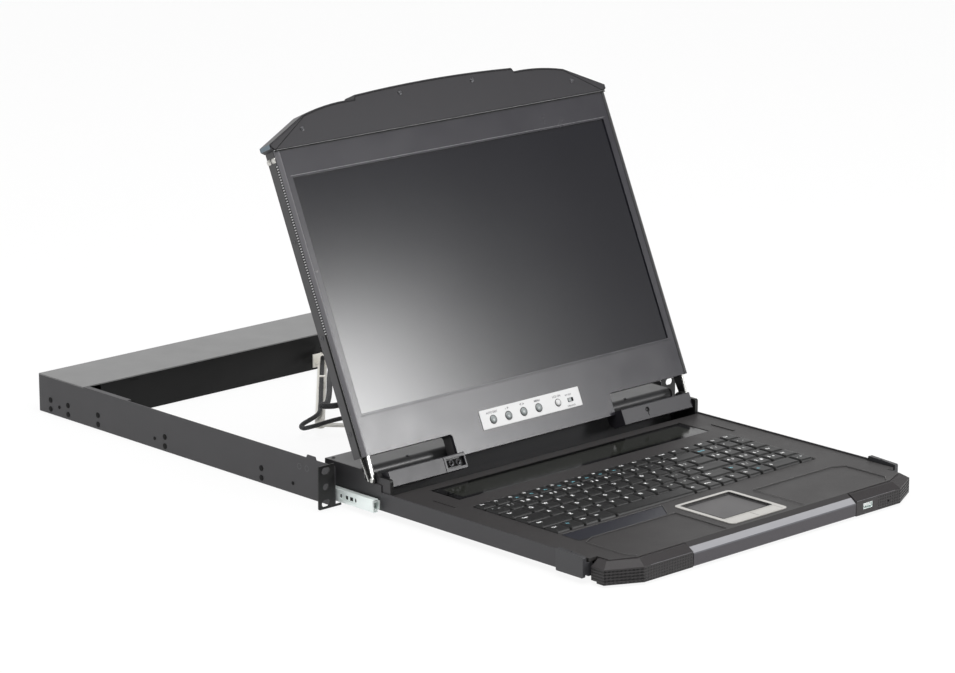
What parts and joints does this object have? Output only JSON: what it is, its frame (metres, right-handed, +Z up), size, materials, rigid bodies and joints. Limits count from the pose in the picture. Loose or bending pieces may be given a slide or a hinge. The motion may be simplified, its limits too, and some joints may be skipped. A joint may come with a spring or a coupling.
{
  "type": "rackmount lcd console drawer",
  "caption": "Rackmount console drawer with a fold-up display, a keyboard with number pad and a touchpad on telescopic slides.",
  "frame": {"origin": "centre of the four slots of the rack ears, on the front plane of the ears", "axes": "+X to the operator's right, +Y into the rack, +Z up"},
  "size_m": [0.4826, 0.8295, 0.3685],
  "materials": {
    "painted_steel": "fine satin powder coat, charcoal",
    "grey_cover": "satin paint, mid grey",
    "dark_housing": "satin paint, near black",
    "zinc": "bright zinc plate",
    "plated": "bright plate",
    "shell_plastic": "fine textured moulding, charcoal",
    "deck_plastic": "fine textured moulding, warm black",
    "key_plastic": "matt black",
    "silver_plastic": "silver paint",
    "bevel_plastic": "satin blue grey",
    "grip_rubber": "dimpled",
    "screen": "semi-gloss polariser",
    "window": "glossy, tinted",
    "board": "green laminate",
    "sleeve": "braided sleeve",
    "button_grey": "satin grey"
  },
  "bodies": {
    "chassis": {"left_rack_ear": "painted_steel", "right_rack_ear": "painted_steel", "left_side_rail": "painted_steel", "right_side_rail": "painted_steel", "rear_housing": "dark_housing", "rear_top_cover": "grey_cover", "power_inlet": "shell_plastic", "console_ports": "zinc", "main_board": "board", "slide_outer_members": "zinc", "rail_rivets": "painted_steel", "arm_wall_bracket": "zinc"},
    "slide_carriers": {"slide_middle_members": "zinc"},
    "drawer": {"slide_inner_members": "zinc", "base_pan": "painted_steel", "rear_cover": "painted_steel", "left_side_bracket": "painted_steel", "right_side_bracket": "painted_steel", "keyboard_deck": "deck_plastic", "status_window": "window", "keyboard_base": "deck_plastic", "touchpad_frame": "silver_plastic", "touchpad_surface": "window", "front_bar": "shell_plastic", "front_bevel_strip": "bevel_plastic", "left_grip": "grip_rubber", "right_grip": "grip_rubber", "usb_socket": "zinc", "drawer_board": "board"},
    "display": {"lcd_bezel": "shell_plastic", "lcd_back_shell": "shell_plastic", "display_panel": "screen", "lcd_cap": "shell_plastic", "button_panel": "silver_plastic", "left_hinge_cover": "shell_plastic", "right_hinge_cover": "shell_plastic", "left_hinge_arm": "plated", "right_hinge_arm": "plated", "lcd_screws": "painted_steel"},
    "cable_arm_rear": {"arm_rear_link": "zinc", "arm_cables_rear": "sleeve"},
    "cable_arm_front": {"arm_front_link": "zinc", "arm_cables_front": "sleeve"},
    "keys_function": {"key_row_function": "key_plastic"},
    "keys_digits": {"key_row_digits": "key_plastic"},
    "keys_upper": {"key_row_upper": "key_plastic"},
    "keys_middle": {"key_row_middle": "key_plastic"},
    "keys_lower": {"key_row_lower": "key_plastic"},
    "keys_bottom": {"key_row_bottom": "key_plastic"},
    "power_rocker_body": {"power_rocker": "shell_plastic"},
    "left_latch_body": {"left_latch": "shell_plastic"},
    "right_latch_body": {"right_latch": "shell_plastic"},
    "touchpad_left_button_body": {"touchpad_left_button": "silver_plastic"},
    "touchpad_right_button_body": {"touchpad_right_button": "silver_plastic"},
    "power_button_body": {"power_button": "silver_plastic"},
    "slide_switch_body": {"slide_switch": "button_grey"},
    "menu_button_1_body": {"menu_button_1": "button_grey"},
    "menu_button_2_body": {"menu_button_2": "button_grey"},
    "menu_button_3_body": {"menu_button_3": "button_grey"},
    "menu_button_4_body": {"menu_button_4": "button_grey"}
  },
  "joints": [
    {"name": "drawer_slide", "type": "slide", "parent": "chassis", "child": "drawer", "axis": [0, 1, 0], "range_m": [0, 0.35]},
    {"name": "slide_carrier_travel", "type": "slide", "parent": "chassis", "child": "slide_carriers", "axis": [0, 1, 0], "range_m": [0, 0.175]},
    {"name": "display_hinge", "type": "hinge", "parent": "drawer", "child": "display", "pos_m": [0, -0.0416, 0.0112], "axis": [1, 0, 0], "range_deg": [-5.8, 114.2]},
    {"name": "cable_arm_rear_pivot", "type": "hinge", "parent": "chassis", "child": "cable_arm_rear", "pos_m": [0.096, 0.384, -0.0136], "axis": [0, 0, -1], "range_deg": [0, 45.69]},
    {"name": "cable_arm_elbow", "type": "hinge", "parent": "cable_arm_rear", "child": "cable_arm_front", "pos_m": [-0.06993, 0.197, -0.012], "axis": [0, 0, 1], "range_deg": [0, 91.37]},
    {"name": "power_switch_tip", "type": "hinge", "parent": "chassis", "child": "power_rocker_body", "pos_m": [0.163, 0.4587, -0.0018], "axis": [-1, 0, 0], "range_deg": [0, 18]},
    {"name": "left_latch_press", "type": "slide", "parent": "drawer", "child": "left_latch_body", "axis": [1, 0, 0], "range_m": [0, 0.0026], "stiffness_N_per_m": 500, "springref_m": -0.001},
    {"name": "right_latch_press", "type": "slide", "parent": "drawer", "child": "right_latch_body", "axis": [-1, 0, 0], "range_m": [0, 0.0026], "stiffness_N_per_m": 500, "springref_m": -0.001},
    {"name": "keys_function_press", "type": "slide", "parent": "drawer", "child": "keys_function", "axis": [0, 0, -1], "range_m": [0, 0.002], "stiffness_N_per_m": 600, "springref_m": -0.002},
    {"name": "keys_digits_press", "type": "slide", "parent": "drawer", "child": "keys_digits", "axis": [0, 0, -1], "range_m": [0, 0.002], "stiffness_N_per_m": 600, "springref_m": -0.002},
    {"name": "keys_upper_press", "type": "slide", "parent": "drawer", "child": "keys_upper", "axis": [0, 0, -1], "range_m": [0, 0.002], "stiffness_N_per_m": 600, "springref_m": -0.002},
    {"name": "keys_middle_press", "type": "slide", "parent": "drawer", "child": "keys_middle", "axis": [0, 0, -1], "range_m": [0, 0.002], "stiffness_N_per_m": 600, "springref_m": -0.002},
    {"name": "keys_lower_press", "type": "slide", "parent": "drawer", "child": "keys_lower", "axis": [0, 0, -1], "range_m": [0, 0.002], "stiffness_N_per_m": 600, "springref_m": -0.002},
    {"name": "keys_bottom_press", "type": "slide", "parent": "drawer", "child": "keys_bottom", "axis": [0, 0, -1], "range_m": [0, 0.002], "stiffness_N_per_m": 600, "springref_m": -0.002},
    {"name": "touchpad_left_press", "type": "slide", "parent": "drawer", "child": "touchpad_left_button_body", "axis": [0, 0, -1], "range_m": [0, 0.0006], "stiffness_N_per_m": 900, "springref_m": -0.0006},
    {"name": "touchpad_right_press", "type": "slide", "parent": "drawer", "child": "touchpad_right_button_body", "axis": [0, 0, -1], "range_m": [0, 0.0006], "stiffness_N_per_m": 900, "springref_m": -0.0006},
    {"name": "menu_button_1_press", "type": "slide", "parent": "display", "child": "menu_button_1_body", "axis": [0, 0.9121, -0.4099], "range_m": [0, 0.0006], "stiffness_N_per_m": 900, "springref_m": -0.0006},
    {"name": "menu_button_2_press", "type": "slide", "parent": "display", "child": "menu_button_2_body", "axis": [0, 0.9121, -0.4099], "range_m": [0, 0.0006], "stiffness_N_per_m": 900, "springref_m": -0.0006},
    {"name": "menu_button_3_press", "type": "slide", "parent": "display", "child": "menu_button_3_body", "axis": [0, 0.9121, -0.4099], "range_m": [0, 0.0006], "stiffness_N_per_m": 900, "springref_m": -0.0006},
    {"name": "menu_button_4_press", "type": "slide", "parent": "display", "child": "menu_button_4_body", "axis": [0, 0.9121, -0.4099], "range_m": [0, 0.0006], "stiffness_N_per_m": 900, "springref_m": -0.0006},
    {"name": "power_button_press", "type": "slide", "parent": "display", "child": "power_button_body", "axis": [0, 0.9121, -0.4099], "range_m": [0, 0.0006], "stiffness_N_per_m": 900, "springref_m": -0.0006},
    {"name": "slide_switch_travel", "type": "slide", "parent": "display", "child": "slide_switch_body", "axis": [1, 0, 0], "range_m": [0, 0.003]}
  ],
  "couplings": [
    {"joint": "slide_carrier_travel", "follows": "drawer_slide", "ratio": 0.5},
    {"joint": "cable_arm_rear_pivot", "follows": "drawer_slide", "rad_per_m": 2.2772},
    {"joint": "cable_arm_elbow", "follows": "drawer_slide", "rad_per_m": 4.5544}
  ]
}
